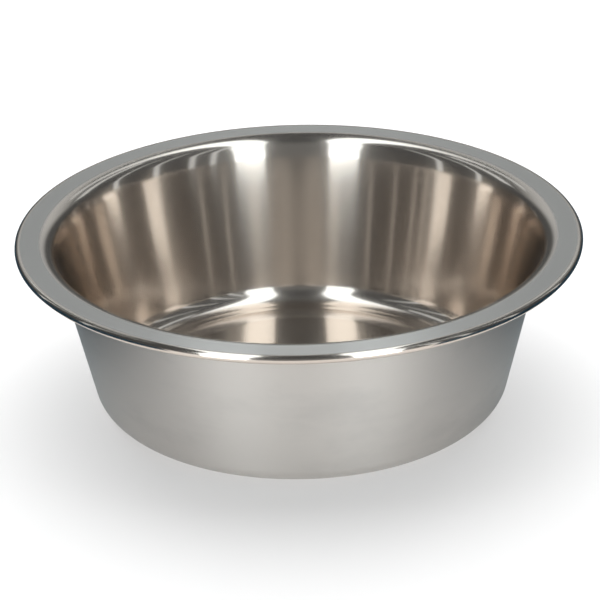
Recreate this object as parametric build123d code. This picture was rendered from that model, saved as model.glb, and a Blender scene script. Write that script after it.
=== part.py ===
"""A free-standing steel feeding bowl.

The shell is one deep-drawn pressing of even thickness: a raised panel in the floor, a foot
around it, a tapered wall, a flat flange and an edge that is rolled under. A rubber ring is bonded into
the recess below the panel and stands proud of the foot, so the bowl rests on rubber.
Millimetres, +Z up, origin at the middle of the surface that the bowl stands on.
"""

import os
from math import atan2, cos, radians, sin, tan

from build123d import *

# Shell, over all
RIM_DIAMETER = 262.0
SHELL_HEIGHT = 81.7
SHEET_THICKNESS = 0.7

# Flange: its flat, from the mouth bend to the middle of the roll, and the roll under its edge
FLANGE_FLAT = 9.6
CURL_DIAMETER = 3.9
CURL_SWEEP = 290.0
STAND_CLEARANCE = 0.4

# Mouth: a tight bend down from the flange, then a slack one that eases into the wall.
# Tapers are degrees from upright: where the tight bend ends, and the wall itself.
MOUTH_BEND_RADIUS = 7.0
MOUTH_EASE_RADIUS = 40.0
MOUTH_TAPER = 22.0
WALL_TAPER = 12.8

# Floor, from the wall inwards: the corner, the level foot, then the cone that rises to the flat panel
FLOOR_CORNER_RADIUS = 10.3
FOOT_WIDTH = 4.0
RISE_WIDTH = 18.0
PANEL_RISE = 4.0
RISE_BLEND_RADIUS = 10.0

# Rubber ring under the panel
RING_WIDTH = 12.0
RING_CLEARANCE = 1.0
RING_STAND = 0.8
RING_EDGE_RADIUS = 0.4

# Heights of the sheet's upper face
FOOT_TOP = RING_STAND + SHEET_THICKNESS
PANEL_TOP = FOOT_TOP + PANEL_RISE
FLANGE_TOP = RING_STAND + SHELL_HEIGHT

# Roll and flange, from the rim inwards
RIM_RADIUS = RIM_DIAMETER / 2
CURL_RADIUS = CURL_DIAMETER / 2
CURL_CENTRE = Vector(RIM_RADIUS - CURL_RADIUS, FLANGE_TOP - CURL_RADIUS)
SEAT_EDGE = RIM_RADIUS - CURL_DIAMETER - STAND_CLEARANCE

# Centres of the bends as radius and height, each reached along the normal where one bend meets the next
MOUTH_NORMAL = Vector(cos(radians(MOUTH_TAPER)), -sin(radians(MOUTH_TAPER)))
WALL_NORMAL = Vector(cos(radians(WALL_TAPER)), -sin(radians(WALL_TAPER)))
BEND_CENTRE = Vector(CURL_CENTRE.X - FLANGE_FLAT, FLANGE_TOP - MOUTH_BEND_RADIUS)
EASE_CENTRE = BEND_CENTRE + MOUTH_NORMAL * (MOUTH_EASE_RADIUS - MOUTH_BEND_RADIUS)
WALL_LINE = EASE_CENTRE - WALL_NORMAL * (MOUTH_EASE_RADIUS + FLOOR_CORNER_RADIUS)
CORNER_HEIGHT = FOOT_TOP + FLOOR_CORNER_RADIUS
FLOOR_EDGE = WALL_LINE.X - (WALL_LINE.Y - CORNER_HEIGHT) * tan(radians(WALL_TAPER))
CORNER_CENTRE = Vector(FLOOR_EDGE, CORNER_HEIGHT)

# Ends of the cone in the floor, and how far they move inwards for each millimetre of depth into the sheet
RISE_FOOT = FLOOR_EDGE - FOOT_WIDTH
PANEL_RADIUS = RISE_FOOT - RISE_WIDTH
RISE_MITRE = tan(atan2(PANEL_RISE, RISE_WIDTH) / 2)
PANEL_FLAT = PANEL_RADIUS - RISE_BLEND_RADIUS * RISE_MITRE


def turned(*outline):
    """A solid of revolution about Z from the pieces of a closed outline drawn as radius and height."""
    edges = [edge for piece in outline for edge in piece.edges()]
    return revolve(Plane.XZ * make_face(edges), Axis.Z, clean=False)


def sheet_face(depth):
    """The face of the sheet that lies at a depth below its upper face, from the axis to the end of the roll.

    Level stretches move down by the depth, the cone's ends move along their mitres, and each bend keeps its
    centre. The flange is two lines that meet at the seat's edge, so the flat ring that a stand bears on is
    a face of its own.
    """
    panel, foot, flange = PANEL_TOP - depth, FOOT_TOP - depth, FLANGE_TOP - depth
    to_cone = depth * RISE_MITRE
    floor = FilletPolyline(
        (0, panel),
        (PANEL_RADIUS - to_cone, panel),
        (RISE_FOOT - to_cone, foot),
        (FLOOR_EDGE, foot),
        radius=[RISE_BLEND_RADIUS - depth, RISE_BLEND_RADIUS + depth],
    )
    corner = CenterArc(CORNER_CENTRE, FLOOR_CORNER_RADIUS + depth, -90, 90 - WALL_TAPER)
    ease = CenterArc(EASE_CENTRE, MOUTH_EASE_RADIUS - depth, 180 - WALL_TAPER, WALL_TAPER - MOUTH_TAPER)
    bend = CenterArc(BEND_CENTRE, MOUTH_BEND_RADIUS - depth, 180 - MOUTH_TAPER, MOUTH_TAPER - 90)
    wall = Line(corner @ 1, ease @ 0)
    seat = Line((BEND_CENTRE.X, flange), (SEAT_EDGE, flange))
    flange_edge = Line((SEAT_EDGE, flange), (CURL_CENTRE.X, flange))
    curl = CenterArc(CURL_CENTRE, CURL_RADIUS - depth, 90, -CURL_SWEEP)
    stretches = (floor, corner, wall, ease, bend, seat, flange_edge, curl)
    return Wire([edge for stretch in stretches for edge in stretch.edges()])


def bowl_shell():
    """The pressing, between the upper and lower faces of its sheet."""
    upper = sheet_face(0)
    lower = sheet_face(SHEET_THICKNESS)
    return turned(upper, lower, Line(upper @ 0, lower @ 0), Line(upper @ 1, lower @ 1))


def non_slip_ring():
    """The rubber ring: its flat top is bonded under the panel and its lower edges are rounded."""
    outer = PANEL_FLAT - RING_CLEARANCE
    upright = (Align.CENTER, Align.CENTER, Align.MIN)
    disc = Cylinder(outer, RING_STAND + PANEL_RISE, align=upright)
    ring = disc - Cylinder(outer - RING_WIDTH, RING_STAND + PANEL_RISE, align=upright)
    return fillet(ring.edges().group_by(Axis.Z)[0], RING_EDGE_RADIUS)


os.makedirs("parts", exist_ok=True)
for part in (bowl_shell, non_slip_ring):
    export_step(part(), f"parts/{part.__name__}.step")
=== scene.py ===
from math import atan2, cos, pi, radians, sin, tan

import bpy
import numpy as np
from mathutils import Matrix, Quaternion, Vector


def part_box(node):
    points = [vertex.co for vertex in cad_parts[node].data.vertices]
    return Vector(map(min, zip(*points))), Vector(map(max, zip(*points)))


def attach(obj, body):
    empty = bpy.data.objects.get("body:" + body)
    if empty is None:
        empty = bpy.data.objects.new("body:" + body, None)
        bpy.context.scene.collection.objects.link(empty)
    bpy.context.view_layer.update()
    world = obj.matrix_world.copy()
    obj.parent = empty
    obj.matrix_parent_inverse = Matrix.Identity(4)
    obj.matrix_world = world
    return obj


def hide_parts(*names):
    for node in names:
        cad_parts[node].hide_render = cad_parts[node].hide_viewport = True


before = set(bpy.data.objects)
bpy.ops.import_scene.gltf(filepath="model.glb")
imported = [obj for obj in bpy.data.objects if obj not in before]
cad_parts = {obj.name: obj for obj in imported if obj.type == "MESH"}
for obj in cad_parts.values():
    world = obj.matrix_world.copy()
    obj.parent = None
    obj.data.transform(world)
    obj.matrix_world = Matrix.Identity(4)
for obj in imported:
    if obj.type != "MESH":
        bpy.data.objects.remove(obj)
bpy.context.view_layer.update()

# Bowl shell: one blank of stainless sheet, deep drawn into a tapered bowl with a flat flange.
# Its edge is rolled under into a hollow bead, so no raw edge shows. The inside is buffed bright while
# the bowl spins, and the flange and the outside are left with a fine turned satin.
shell_low, shell_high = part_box("bowl_shell")
RIM_RADIUS = shell_high.x
FLANGE_TOP = shell_high.z
FOOT_UNDERSIDE = shell_low.z
SHEET = 0.0007
FLANGE_FLAT = 0.0096
ROLL_RADIUS = 0.00195
ROLL_SWEEP = radians(290)
MOUTH_BEND = 0.007
MOUTH_EASE = 0.040
MOUTH_TAPER = radians(22)
WALL_TAPER = radians(12.8)
FLOOR_CORNER = 0.0103
FOOT_WIDTH = 0.004
RISE_WIDTH = 0.018
RISE = 0.004
RISE_BLEND = 0.010
SEGMENTS = 360
EDGE_STEPS = 6

# The steel's tones, a painted shade that darkens and cools the satin's reflection at grazing angles, and the
# width over which one finish passes into the next
BUFFED_TONE = (0.68, 0.60, 0.53, 1)
SATIN_TONE = (0.67, 0.63, 0.59, 1)
SMUDGE_TONE = (0.56, 0.53, 0.50, 1)
PAINTED_FLANK_SHADE = (0.50, 0.58, 0.62, 1)
FINISH_BLUR = 0.0010

# The steel's patterns: waves in a metre along each axis, where the rings' third axis runs along the section
RING_SCALES = (14, 14, 1900)
RING_BUMP = 0.012
RING_DEPTH = 0.0004
CLOUD_SCALES = (24, 24, 24)
SMUDGE_SCALES = (16, 16, 34)
SMUDGE_RANGE = (-0.02, 0.22)
SMUDGE_SHARE = 0.5

# The steel's gloss: roughness, the wear that varies it, and how far and which way the rings draw it out
POLISH_ROUGHNESS = 0.105
HAZE_ROUGHNESS = 0.25
HAZE_SHARE = 0.42
HAZE_CLOUDS = 0.1
SATIN_ROUGHNESS = 0.575
FLANGE_SATIN = 0.6
RING_WEAR = 0.03
CLOUD_WEAR = 0.04
BUFF_WEAR = 0.5
BUFF_DRAW = 0.9
SATIN_DRAW = 0.6
DRAW_TURN = 0.25


def section_stretches():
    """The upper face of the sheet, from the axis to the end of the roll, as stretches in order.

    Each stretch is a name, a radius of bend, a turn to the left in radians, a straight length, and how many
    steps it is cut into. The bends at the mouth and the floor take their height off the wall, and with the
    wall's own lean they set how far in from the rim the floor ends.
    """
    slope = atan2(RISE, RISE_WIDTH)
    blend_tangent = RISE_BLEND * tan(slope / 2)
    bend_drop = MOUTH_BEND * (1 - sin(MOUTH_TAPER))
    ease_drop = MOUTH_EASE * (sin(MOUTH_TAPER) - sin(WALL_TAPER))
    corner_drop = FLOOR_CORNER * (1 - sin(WALL_TAPER))
    wall_drop = FLANGE_TOP - FOOT_UNDERSIDE - SHEET - bend_drop - ease_drop - corner_drop
    mouth_reach = MOUTH_BEND * cos(MOUTH_TAPER) + MOUTH_EASE * (cos(WALL_TAPER) - cos(MOUTH_TAPER))
    wall_reach = wall_drop * tan(WALL_TAPER) + FLOOR_CORNER * cos(WALL_TAPER)
    floor_edge = RIM_RADIUS - ROLL_RADIUS - FLANGE_FLAT - mouth_reach - wall_reach
    panel = floor_edge - FOOT_WIDTH - RISE_WIDTH
    return [
        ("panel", 0, 0, panel - blend_tangent, 12),
        ("rise", RISE_BLEND, -slope, 0, 6),
        ("rise", 0, 0, RISE_WIDTH / cos(slope) - 2 * blend_tangent, 4),
        ("rise", RISE_BLEND, slope, 0, 6),
        ("foot", 0, 0, FOOT_WIDTH - blend_tangent, 2),
        ("corner", FLOOR_CORNER, pi / 2 - WALL_TAPER, 0, 24),
        ("wall", 0, 0, wall_drop / cos(WALL_TAPER), 20),
        ("ease", MOUTH_EASE, WALL_TAPER - MOUTH_TAPER, 0, 12),
        ("bend", MOUTH_BEND, MOUTH_TAPER - pi / 2, 0, 20),
        ("flange", 0, 0, FLANGE_FLAT, 6),
        ("roll", ROLL_RADIUS, -ROLL_SWEEP, 0, 40),
    ]


def pressed_section():
    """The closed section of the sheet as radius, height, heading and distance along it, and its borders.

    A point moves along the upper face, round the sheet's edge in a half circle, and back along the lower
    face, which is cut half as finely. On every step the heading turns evenly, so the step's chord is its
    length times the sine of half its turn over half its turn, and points along the mean heading. The sums of
    the chords are the section. A border is the distance at which the stretch of that name ends.
    """
    upper = section_stretches()
    path = [(name, abs(turn) * radius + run, turn, steps) for name, radius, turn, run, steps in upper]
    path.append(("roll", pi * SHEET / 2, -pi, EDGE_STEPS))
    for name, radius, turn, run, steps in reversed(upper):
        below = abs(turn) * (radius + np.sign(turn) * SHEET) + run
        path.append(("under_" + name, below, -turn, max(2, steps // 2)))
    counts = [steps for _, _, _, steps in path]
    lengths = np.repeat([length / steps for _, length, _, steps in path], counts)
    turns = np.repeat([turn / steps for _, _, turn, steps in path], counts)
    ends = np.cumsum(turns)
    middle = ends - turns / 2
    chords = lengths * np.sinc(turns / (2 * pi))
    radius = np.concatenate([[0], np.cumsum(chords * np.cos(middle))])
    height = np.concatenate([[0], np.cumsum(chords * np.sin(middle))])
    height += FLANGE_TOP - height.max()
    heading = np.concatenate([[0], ends])
    along = np.concatenate([[0], np.cumsum(lengths)])
    borders = {}
    for (name, _, _, _), stop in zip(path, np.cumsum(counts)):
        borders[name] = along[stop]
    return radius, height, heading, along, borders


def turned_mesh(name, radius, height, heading, along, segments):
    """A surface of revolution: the point at angle a on row i is (r_i cos a, r_i sin a, z_i).

    The first and last rows lie on the axis and become single poles. Normals are the section's own, a
    quarter turn to the left of its heading, so that reflections run smoothly across the facets. The map
    called section holds the angle as a share of a turn, and the distance along the section in metres.
    """
    angle = np.arange(segments) * 2 * pi / segments
    rows = len(radius) - 2
    circle = np.stack([np.cos(angle), np.sin(angle)], axis=1)
    body = np.empty((rows, segments, 3))
    body[..., :2] = radius[1:-1, None, None] * circle
    body[..., 2] = height[1:-1, None]
    poles = np.array([[0, 0, height[0]], [0, 0, height[-1]]])
    points = np.concatenate([body.reshape(-1, 3), poles])
    outward = np.empty((rows, segments, 3))
    outward[..., :2] = -np.sin(heading[1:-1, None, None]) * circle
    outward[..., 2] = np.cos(heading[1:-1, None])
    normals = np.concatenate([outward.reshape(-1, 3), [[0, 0, 1], [0, 0, -1]]])

    here = np.arange(segments)
    after = (here + 1) % segments
    row = np.arange(rows - 1)[:, None] * segments
    quads = np.stack([row + here, row + segments + here, row + segments + after, row + after], axis=-1)
    last = (rows - 1) * segments
    first_pole, last_pole = rows * segments, rows * segments + 1
    cap = np.stack([np.full(segments, first_pole), here, after], axis=-1)
    base = np.stack([np.full(segments, last_pole), last + after, last + here], axis=-1)
    corners = np.concatenate([quads.ravel(), cap.ravel(), base.ravel()])
    sizes = np.concatenate([np.full(quads.size // 4, 4), np.full(2 * segments, 3)])

    share = here / segments
    across = np.stack([share, share, share + 1 / segments, share + 1 / segments], axis=-1)
    fan = np.stack([share + 0.5 / segments, share, share + 1 / segments], axis=-1)
    fan_back = np.stack([share + 0.5 / segments, share + 1 / segments, share], axis=-1)
    u = np.concatenate([np.broadcast_to(across, quads.shape).ravel(), fan.ravel(), fan_back.ravel()])
    distance = np.concatenate([np.repeat(along[1:-1], segments), [along[0], along[-1]]])

    mesh = bpy.data.meshes.new(name)
    mesh.vertices.add(len(points))
    mesh.vertices.foreach_set("co", points.ravel())
    mesh.loops.add(len(corners))
    mesh.loops.foreach_set("vertex_index", corners)
    mesh.polygons.add(len(sizes))
    mesh.polygons.foreach_set("loop_start", np.concatenate([[0], np.cumsum(sizes)[:-1]]))
    mesh.polygons.foreach_set("loop_total", sizes)
    mesh.update(calc_edges=True)
    section_map = mesh.uv_layers.new(name="section")
    section_map.uv.foreach_set("vector", np.stack([u, distance[corners]], axis=1).ravel())
    mesh.normals_split_custom_set_from_vertices(normals)
    return mesh


class Finish:
    """One output socket of a node tree: arithmetic on it adds Math nodes, and add makes any other node."""

    def __init__(self, tree, socket=None):
        self.tree = tree
        self.socket = socket

    def add(self, kind, settings=(), sockets=(), output=0):
        """Makes a node with its settings, fills its sockets with values or links, and gives one output."""
        node = self.tree.nodes.new(kind)
        for name, value in dict(settings).items():
            setattr(node, name, value)
        for name, value in dict(sockets).items():
            if isinstance(value, Finish):
                self.tree.links.new(value.socket, node.inputs[name])
            else:
                node.inputs[name].default_value = value
        return Finish(self.tree, node.outputs[output] if node.outputs else None)

    def math(self, operation, first, second):
        """A Math node on two values, either of which may be a plain number."""
        return self.add("ShaderNodeMath", {"operation": operation}, {0: first, 1: second})

    def __add__(self, other):
        return self.math("ADD", self, other)

    def __sub__(self, other):
        return self.math("SUBTRACT", self, other)

    def __rsub__(self, other):
        return self.math("SUBTRACT", other, self)

    def __mul__(self, other):
        return self.math("MULTIPLY", self, other)

    __radd__ = __add__
    __rmul__ = __mul__

    def step(self, low, high):
        """0 below low, 1 above high, and a smooth S between them."""
        sockets = {"Value": self, "From Min": low, "From Max": high}
        return self.add("ShaderNodeMapRange", {"interpolation_type": "SMOOTHSTEP"}, sockets)

    def part(self, axis):
        """One axis of this vector."""
        return self.add("ShaderNodeSeparateXYZ", {}, {0: self}, output=axis)

    def noise(self, scales, detail=2.0, roughness=0.5):
        """Noise on this vector with its own scale along each axis, from -0.5 to 0.5."""
        stretched = self.add("ShaderNodeVectorMath", {"operation": "MULTIPLY"}, {0: self, 1: scales})
        sockets = {"Vector": stretched, "Scale": 1.0, "Detail": detail, "Roughness": roughness}
        return self.add("ShaderNodeTexNoise", {}, sockets) - 0.5

    def blend(self, first, second):
        """A colour that goes from the first to the second as this value goes from 0 to 1."""
        return self.add("ShaderNodeMix", {"data_type": "RGBA"}, {0: self, 6: first, 7: second}, output=2)

    def mix(self, first, second):
        """A shader that goes from the first to the second as this value goes from 0 to 1."""
        return self.add("ShaderNodeMixShader", {}, {0: self, 1: first, 2: second})


def blank_finish(owner):
    """Empties the node tree of a material or the world, and gives the start that nodes are added from."""
    owner.use_nodes = True
    owner.node_tree.nodes.clear()
    return Finish(owner.node_tree)


def steel_finish(borders):
    """Stainless sheet: buffed bright inside and on the roll, turned satin on the flange and the outside.

    Fine rings from a buff held to the spinning bowl cover all of it. They spread reflections up and down
    the section but hardly round it, so the steel's gloss is drawn out across them. The buffed steel is a
    clear polish with a share of haze over it, and the flange's satin lets part of that polish through.
    """
    material = bpy.data.materials.new("polished_stainless")
    start = blank_finish(material)
    place = start.add("ShaderNodeTexCoord", output="Object")
    along = start.add("ShaderNodeUVMap", {"uv_map": "section"}).part("Y")

    on_flange = along.step(borders["bend"] - FINISH_BLUR, borders["bend"] + FINISH_BLUR)
    on_roll = along.step(borders["flange"] - FINISH_BLUR, borders["flange"])
    outside = along.step(borders["roll"], borders["roll"] + FINISH_BLUR)
    flange = on_flange * (1 - on_roll)
    satin = flange + outside

    ring_sockets = {"X": place.part("X"), "Y": place.part("Y"), "Z": along}
    ring_place = start.add("ShaderNodeCombineXYZ", {}, ring_sockets)
    rings = ring_place.noise(RING_SCALES, detail=3.0, roughness=0.7) * satin
    clouds = place.noise(CLOUD_SCALES, detail=3.0)
    marks = place.noise(SMUDGE_SCALES, detail=4.0, roughness=0.6)

    smudges = marks.step(*SMUDGE_RANGE) * outside * SMUDGE_SHARE
    tone = smudges.blend(satin.blend(BUFFED_TONE, SATIN_TONE), SMUDGE_TONE)
    bump_sockets = {"Strength": RING_BUMP, "Distance": RING_DEPTH, "Height": rings}
    bump = start.add("ShaderNodeBump", {}, bump_sockets)
    wear = rings * RING_WEAR + clouds * CLOUD_WEAR
    sockets = {"Base Color": tone, "Metallic": 1.0, "Anisotropic Rotation": DRAW_TURN, "Normal": bump}

    buffed_sockets = {**sockets, "Anisotropic": BUFF_DRAW}
    polish_sockets = {**buffed_sockets, "Roughness": POLISH_ROUGHNESS + wear * BUFF_WEAR}
    haze_sockets = {**buffed_sockets, "Roughness": HAZE_ROUGHNESS + wear * BUFF_WEAR}
    polish = start.add("ShaderNodeBsdfPrincipled", {}, polish_sockets)
    haze = start.add("ShaderNodeBsdfPrincipled", {}, haze_sockets)
    buffed = (HAZE_SHARE + clouds * HAZE_CLOUDS).mix(polish, haze)

    # The satin's grazing tint is painted shade: it darkens and cools the reflection on the bowl's flanks.
    satin_sockets = {**sockets, "Anisotropic": SATIN_DRAW, "Specular Tint": PAINTED_FLANK_SHADE}
    satin_sockets["Roughness"] = SATIN_ROUGHNESS + wear
    turned = start.add("ShaderNodeBsdfPrincipled", {}, satin_sockets)
    steel = (outside + flange * FLANGE_SATIN).mix(buffed, turned)
    start.add("ShaderNodeOutputMaterial", {}, {"Surface": steel})
    return material


radius, height, heading, along, borders = pressed_section()
bowl = bpy.data.objects.new("bowl", turned_mesh("bowl", radius, height, heading, along, SEGMENTS))
bowl.data.materials.append(steel_finish(borders))
bpy.context.scene.collection.objects.link(bowl)
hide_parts("bowl_shell")
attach(bowl, "root")

# Non-slip ring: a flat moulded ring of black rubber, bonded into the recess under the bowl's floor.
# Its moulded face is matt and faintly grained, and paler where it rubs on the floor.
RUBBER_TONE = (0.022, 0.022, 0.024, 1)
DUST_TONE = (0.060, 0.059, 0.057, 1)
DUST_HEIGHTS = (0.00002, 0.0002)
DUST_SHARE = 0.5
BLOTCH_SCALES = (60, 60, 60)
GRAIN_SCALES = (1400, 1400, 1400)
GRAIN_BUMP = 0.25
GRAIN_DEPTH = 0.0002
RUBBER_ROUGHNESS = 0.66
ROUGHNESS_SPREAD = 0.15


def rubber_finish():
    """Black rubber with a fine moulded grain, and a dusty grey on the lowest fifth of a millimetre."""
    material = bpy.data.materials.new("moulded_rubber")
    start = blank_finish(material)
    place = start.add("ShaderNodeTexCoord", output="Object")
    grain = place.noise(GRAIN_SCALES)
    blotches = place.noise(BLOTCH_SCALES, detail=3.0)
    worn = (1 - place.part("Z").step(*DUST_HEIGHTS)) * (DUST_SHARE + blotches)
    tone = worn.blend(RUBBER_TONE, DUST_TONE)
    bump_sockets = {"Strength": GRAIN_BUMP, "Distance": GRAIN_DEPTH, "Height": grain}
    bump = start.add("ShaderNodeBump", {}, bump_sockets)
    roughness = RUBBER_ROUGHNESS + (worn + grain) * ROUGHNESS_SPREAD
    sockets = {"Base Color": tone, "Roughness": roughness, "Normal": bump}
    rubber = start.add("ShaderNodeBsdfPrincipled", {}, sockets)
    start.add("ShaderNodeOutputMaterial", {}, {"Surface": rubber})
    return material


ring = bpy.data.objects["non_slip_ring"]
ring.data.materials.clear()
ring.data.materials.append(rubber_finish())

# Floor: a sheet of matt white paper that the bowl stands on, wide enough to fill the view.
# Part of its white shows without light, to the eye and in the steel, so the bowl's shadow stays pale.
PAPER_HALF_WIDTH = 30.0
PAPER_WHITE = (0.93, 0.93, 0.93, 1)
PAPER_GLOW = 0.45
PAPER_FADE = (0.3, 1.5)
corner_ways = np.array([[-1, -1, 0], [1, -1, 0], [1, 1, 0], [-1, 1, 0]])
paper_mesh = bpy.data.meshes.new("paper")
paper_mesh.from_pydata((PAPER_HALF_WIDTH * corner_ways).tolist(), [], [(0, 1, 2, 3)])
paper = bpy.data.objects.new("paper", paper_mesh)
bpy.context.scene.collection.objects.link(paper)
paper_finish = bpy.data.materials.new("matt_paper")
start = blank_finish(paper_finish)
sight = start.add("ShaderNodeLightPath", output="Is Camera Ray")
for ray in ("Is Glossy Ray", "Is Transmission Ray"):
    sight = start.math("MAXIMUM", sight, start.add("ShaderNodeLightPath", output=ray))
place = start.add("ShaderNodeTexCoord", output="Object")
reach = start.add("ShaderNodeVectorMath", {"operation": "LENGTH"}, {0: place}, output="Value")
shown = PAPER_GLOW + (1 - PAPER_GLOW) * reach.step(*PAPER_FADE)
lit = start.add("ShaderNodeBsdfDiffuse", {}, {"Color": PAPER_WHITE})
white = start.add("ShaderNodeEmission", {}, {"Color": (1, 1, 1, 1), "Strength": 1.0})
start.add("ShaderNodeOutputMaterial", {}, {"Surface": (sight * shown).mix(lit, white)})
paper.data.materials.append(paper_finish)

# Banks: two soft banks of light that arch closely over the bowl from the camera's sides, and draw together
# at the back. They are brightest at their feet and fade at their far ends. Turns run from the front over
# the top, the edges are shares of the distance at each turn, and the ends are shares of the length.
BANK_DISTANCE = 0.5
BANK_TURNS = np.radians([0, 45, 75, 110, 138])
BANK_INNER = [0.30, 0.22, 0.13, 0.08, 0.04]
BANK_OUTER = [0.56, 0.49, 0.33, 0.24, 0.20]
BANK_BLUR = 0.07
BANK_LIGHT = 2.5
BANK_FOOT_LIGHT = 0.8
BANK_FOOT_ENDS = (0.12, 0.24)
BANK_FADE = 0.65
BANK_FADE_ENDS = (0.78, 0.95)
BANK_ROWS, BANK_COLUMNS = 60, 12
LAMP_TINT = (0.86, 0.95, 1.0, 1)


def lamp_mesh(name, points, across, lengthways):
    """One or more grids of points, with a face between each point and the next ones across and lengthways.

    The map called across holds each point's shares of the width and of the length.
    """
    here = np.arange(across.size).reshape(across.shape)
    corners = [here[..., :-1, :-1], here[..., :-1, 1:], here[..., 1:, 1:], here[..., 1:, :-1]]
    quads = np.stack(corners, axis=-1).reshape(-1, 4)
    shares = np.stack([across.ravel(), lengthways.ravel()], axis=1)
    mesh = bpy.data.meshes.new(name)
    mesh.from_pydata(points.reshape(-1, 3).tolist(), [], quads.tolist())
    mesh.uv_layers.new(name="across").uv.foreach_set("vector", shares[quads.ravel()].ravel())
    return mesh


def bank_mesh(name, side):
    """A ribbon on a sphere round the bowl: arch turn t runs from the front over the top, and x across it.

    The point is the sphere's radius times (x, -cos t sqrt(1 - x^2), sin t sqrt(1 - x^2)), where x goes from
    the ribbon's inner edge to its outer edge at that turn.
    """
    turn = np.linspace(BANK_TURNS[0], BANK_TURNS[-1], BANK_ROWS)[:, None]
    across, lengthways = np.meshgrid(np.linspace(0, 1, BANK_COLUMNS), np.linspace(0, 1, BANK_ROWS))
    inner = np.interp(turn, BANK_TURNS, BANK_INNER)
    outer = np.interp(turn, BANK_TURNS, BANK_OUTER)
    x = inner + (outer - inner) * across
    reach = np.sqrt(1 - x * x)
    points = BANK_DISTANCE * np.stack([side * x, -np.cos(turn) * reach, np.sin(turn) * reach], axis=-1)
    return lamp_mesh(name, points, across, lengthways)


def soft_edged(share, blur):
    """1 over the middle of a share that goes from 0 to 1, easing to 0 over the blur at both of its ends."""
    return share.step(0, blur) * (1 - share.step(1 - blur, 1))


def set_up(name, mesh, finish):
    """A lamp or card of the studio, which the steel mirrors. The camera and the paper don't see it."""
    piece = bpy.data.objects.new(name, mesh)
    piece.data.materials.append(finish)
    piece.visible_camera = False
    piece.visible_diffuse = False
    piece.visible_shadow = False
    bpy.context.scene.collection.objects.link(piece)
    return piece


bank_finish = bpy.data.materials.new("soft_bank")
start = blank_finish(bank_finish)
shares = start.add("ShaderNodeUVMap", {"uv_map": "across"})
lengthways = shares.part("Y")
foot_light = (1 - lengthways.step(*BANK_FOOT_ENDS)) * BANK_FOOT_LIGHT
fade = lengthways.step(*BANK_FADE_ENDS) * BANK_FADE
light = soft_edged(shares.part("X"), BANK_BLUR) * (1 + foot_light - fade) * BANK_LIGHT
panel = start.add("ShaderNodeEmission", {}, {"Color": LAMP_TINT, "Strength": light})
start.add("ShaderNodeOutputMaterial", {}, {"Surface": panel})
for name, side in (("left_bank", -1), ("right_bank", 1)):
    bank = set_up(name, bank_mesh(name, side), bank_finish)

# Strips: narrow upright lamps round the bowl, which draw thin streaks down the steel. The two at the back
# are wider and start higher, and all of them are brightest along their middle.
STRIP_TURNS = np.radians([-134, -104, -79, 45, 57, 78, 104, 142])
STRIP_WIDTHS = np.radians([22, 6, 6, 6, 6, 6, 6, 20])
STRIP_FEET = np.radians([35, 8, 8, 8, 8, 8, 8, 35])
STRIP_HEAD = radians(60)
STRIP_BLUR = 0.4
STRIP_LIGHT = 1.1
STRIP_ROWS, STRIP_COLUMNS = 12, 5


def strip_mesh(name):
    """Upright strips on the sphere round the bowl, at turns a from the front and lifts e above the level.

    The point is the sphere's radius times (cos e sin a, -cos e cos a, sin e). A strip's turn goes across its
    width, and its lift goes from its foot to the head that all strips share.
    """
    across = np.linspace(0, 1, STRIP_COLUMNS)
    lengthways = np.linspace(0, 1, STRIP_ROWS)[:, None]
    turn = STRIP_TURNS[:, None, None] + STRIP_WIDTHS[:, None, None] * (across - 0.5)
    lift = np.linspace(STRIP_FEET, STRIP_HEAD, STRIP_ROWS, axis=-1)[:, :, None]
    turn, lift, across, lengthways = np.broadcast_arrays(turn, lift, across, lengthways)
    ways = [np.cos(lift) * np.sin(turn), -np.cos(lift) * np.cos(turn), np.sin(lift)]
    return lamp_mesh(name, BANK_DISTANCE * np.stack(ways, axis=-1), across, lengthways)


strip_finish = bpy.data.materials.new("strip_lamp")
start = blank_finish(strip_finish)
across = start.add("ShaderNodeUVMap", {"uv_map": "across"}).part("X")
light = soft_edged(across, STRIP_BLUR) * STRIP_LIGHT
panel = start.add("ShaderNodeEmission", {}, {"Color": LAMP_TINT, "Strength": light})
start.add("ShaderNodeOutputMaterial", {}, {"Surface": panel})
strips = set_up("strip_lamps", strip_mesh("strip_lamps"), strip_finish)

# Flags: dark cards that stand on the paper at both sides of the bowl, just out of the picture.
# The steel's flanks look at them, so they turn darker and cooler than its front.
FLAG_OFFSET = 0.165
FLAG_ENDS = (-0.20, 0.45)
FLAG_HEIGHT = 0.085
FLAG_TONE = (0.030, 0.070, 0.110, 1)
flag_finish = bpy.data.materials.new("dark_card")
start = blank_finish(flag_finish)
card = start.add("ShaderNodeBsdfDiffuse", {}, {"Color": FLAG_TONE})
start.add("ShaderNodeOutputMaterial", {}, {"Surface": card})
near, far = FLAG_ENDS
for name, side in (("left_flag", -1), ("right_flag", 1)):
    x = side * FLAG_OFFSET
    flag_corners = [(x, near, 0), (x, far, 0), (x, far, FLAG_HEIGHT), (x, near, FLAG_HEIGHT)]
    flag_mesh = bpy.data.meshes.new(name)
    flag_mesh.from_pydata(flag_corners, [], [(0, 1, 2, 3)])
    flag = set_up(name, flag_mesh, flag_finish)

# Fill: a wide soft lamp above and behind the bowl. It whitens the paper and draws the shadow forward, and
# the steel doesn't show it.
FILL_PLACE = Vector((0, 0.55, 1.5))
FILL_WIDTH = 2.4
FILL_POWER = 62.0
fill = bpy.data.objects.new("fill", bpy.data.lights.new("fill", "AREA"))
fill.location = FILL_PLACE
fill.rotation_mode = "QUATERNION"
fill.rotation_quaternion = (-FILL_PLACE).to_track_quat("-Z", "Y")
fill.data.size = FILL_WIDTH
fill.data.energy = FILL_POWER
fill.visible_glossy = False
bpy.context.scene.collection.objects.link(fill)

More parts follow.
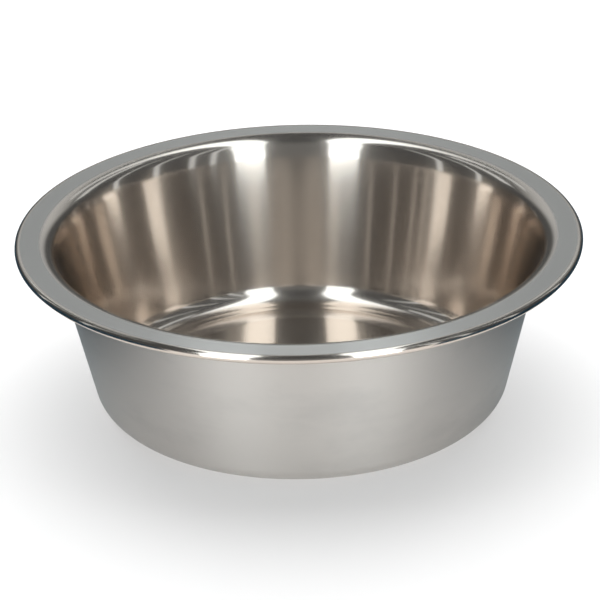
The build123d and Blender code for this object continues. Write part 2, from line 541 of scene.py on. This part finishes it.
# Room: dark beyond the lamps and a little lighter in front, with a paler wall behind the bowl that the
# flange mirrors. Its sides, foot and top are parts of a direction of length 1. The camera sees it pale.
ROOM_LIGHT = 0.085
ROOM_TINT = (0.90, 0.965, 1.0, 1)
FRONT_LIGHT = 0.11
FRONT_SIDES = (0.55, 0.95)
BACK_WALL_LIGHT = 0.60
BACK_WALL_SIDES = (0.45, 0.95)
BACK_WALL_FOOT = (0.25, 0.45)
BACK_WALL_TOP = (0.58, 0.68)
world = bpy.data.worlds.new("studio")
bpy.context.scene.world = world
start = blank_finish(world)
way = start.add("ShaderNodeTexCoord", output="Generated")
back, up = way.part("Y"), way.part("Z")
back_wall = back.step(*BACK_WALL_SIDES) * up.step(*BACK_WALL_FOOT) * (1 - up.step(*BACK_WALL_TOP))
light = ROOM_LIGHT + BACK_WALL_LIGHT * back_wall + FRONT_LIGHT * (0 - back).step(*FRONT_SIDES)
camera_ray = start.add("ShaderNodeLightPath", output="Is Camera Ray")
strength = light * (1 - camera_ray) + camera_ray
glow = start.add("ShaderNodeBackground", {}, {"Color": ROOM_TINT, "Strength": strength})
start.add("ShaderNodeOutputWorld", {}, {"Surface": glow})

# Camera: a long lens that looks down on the bowl by 26 degrees, with the photograph's slight tilt.
# Its place, its pitch and its lens were fitted to the outlines of the rim and the wall.
AIM = Vector((0, 0, 0.04618))
DISTANCE = 1.2303
PITCH = radians(25.684)
ROLL = radians(-1.2177)
LENS = 157.64
SENSOR = 36.0
FARTHEST = 200
camera = bpy.data.objects.new("camera", bpy.data.cameras.new("camera"))
bpy.context.scene.collection.objects.link(camera)
towards_camera = Vector((0, -cos(PITCH), sin(PITCH)))
camera.location = AIM + towards_camera * DISTANCE
camera.rotation_mode = "QUATERNION"
camera.rotation_quaternion = (-towards_camera).to_track_quat("-Z", "Y") @ Quaternion((0, 0, 1), ROLL)
camera.data.sensor_width = SENSOR
camera.data.lens = LENS
camera.data.clip_end = FARTHEST
bpy.context.scene.camera = camera
bpy.context.scene.view_settings.view_transform = "Standard"
